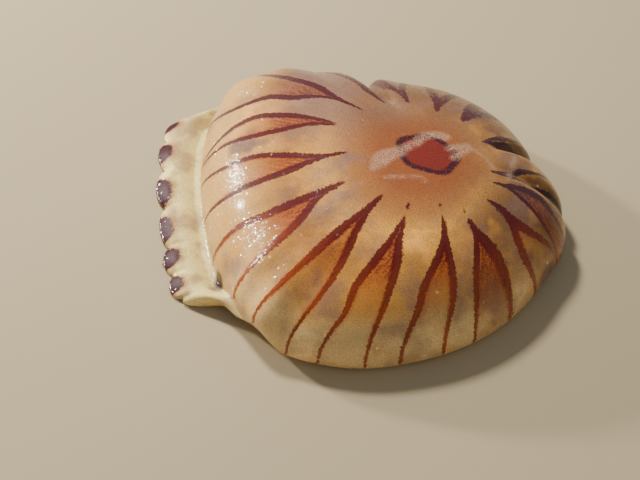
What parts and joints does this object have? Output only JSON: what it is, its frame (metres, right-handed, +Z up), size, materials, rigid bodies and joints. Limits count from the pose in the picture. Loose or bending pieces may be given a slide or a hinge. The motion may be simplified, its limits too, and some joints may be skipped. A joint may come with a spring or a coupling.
{
  "type": "compass jellyfish",
  "caption": "Stranded compass jellyfish, a sea nettle, lying bell up with part of its scalloped margin turned out; brown V marks radiate from a dark centre spot.",
  "frame": {"origin": "middle of the animal's bounding box, on the floor", "axes": "+X from the turned-out brim towards the curled far side, the animal's length; +Y its width; +Z up from the floor to the crown"},
  "size_m": [0.2052, 0.1824, 0.05],
  "materials": {
    "crown_jelly": "wet clear jelly over a deep red-brown spot with a dark beaded edge, orange-brown round it",
    "bell_jelly": "wet amber jelly, fine granular surface, red-brown V marks, paler and clearer at the margin, purple-brown lappet tips",
    "oral_arm_jelly": "wet milky jelly with frilled, slightly browner edges",
    "tentacle_jelly": "wet red-brown thread, slightly knobbly"
  },
  "bodies": {
    "root": {"bell_crown": "crown_jelly", "bell_octant_1": "bell_jelly", "bell_octant_2": "bell_jelly", "bell_octant_3": "bell_jelly", "bell_octant_4": "bell_jelly", "bell_octant_5": "bell_jelly", "bell_octant_6": "bell_jelly", "bell_octant_7": "bell_jelly", "bell_octant_8": "bell_jelly", "manubrium": "oral_arm_jelly", "oral_arm_1_middle": "oral_arm_jelly", "oral_arm_1_tip": "oral_arm_jelly", "oral_arm_1_upper": "oral_arm_jelly", "oral_arm_2_middle": "oral_arm_jelly", "oral_arm_2_tip": "oral_arm_jelly", "oral_arm_2_upper": "oral_arm_jelly", "oral_arm_3_middle": "oral_arm_jelly", "oral_arm_3_tip": "oral_arm_jelly", "oral_arm_3_upper": "oral_arm_jelly", "oral_arm_4_middle": "oral_arm_jelly", "oral_arm_4_tip": "oral_arm_jelly", "oral_arm_4_upper": "oral_arm_jelly", "tentacle_1a": "tentacle_jelly", "tentacle_1b_end": "tentacle_jelly", "tentacle_1b_root": "tentacle_jelly", "tentacle_1c": "tentacle_jelly", "tentacle_2a": "tentacle_jelly", "tentacle_2b_end": "tentacle_jelly", "tentacle_2b_root": "tentacle_jelly", "tentacle_2c": "tentacle_jelly", "tentacle_3a": "tentacle_jelly", "tentacle_3b_end": "tentacle_jelly", "tentacle_3b_root": "tentacle_jelly", "tentacle_3c": "tentacle_jelly", "tentacle_4a": "tentacle_jelly", "tentacle_4b_end": "tentacle_jelly", "tentacle_4b_root": "tentacle_jelly", "tentacle_4c": "tentacle_jelly", "tentacle_5a": "tentacle_jelly", "tentacle_5b_end": "tentacle_jelly", "tentacle_5b_root": "tentacle_jelly", "tentacle_5c": "tentacle_jelly", "tentacle_6a": "tentacle_jelly", "tentacle_6b_end": "tentacle_jelly", "tentacle_6b_root": "tentacle_jelly", "tentacle_6c": "tentacle_jelly", "tentacle_7a": "tentacle_jelly", "tentacle_7b_end": "tentacle_jelly", "tentacle_7b_root": "tentacle_jelly", "tentacle_7c": "tentacle_jelly", "tentacle_8a": "tentacle_jelly", "tentacle_8b_end": "tentacle_jelly", "tentacle_8b_root": "tentacle_jelly", "tentacle_8c": "tentacle_jelly"}
  },
  "joints": []
}
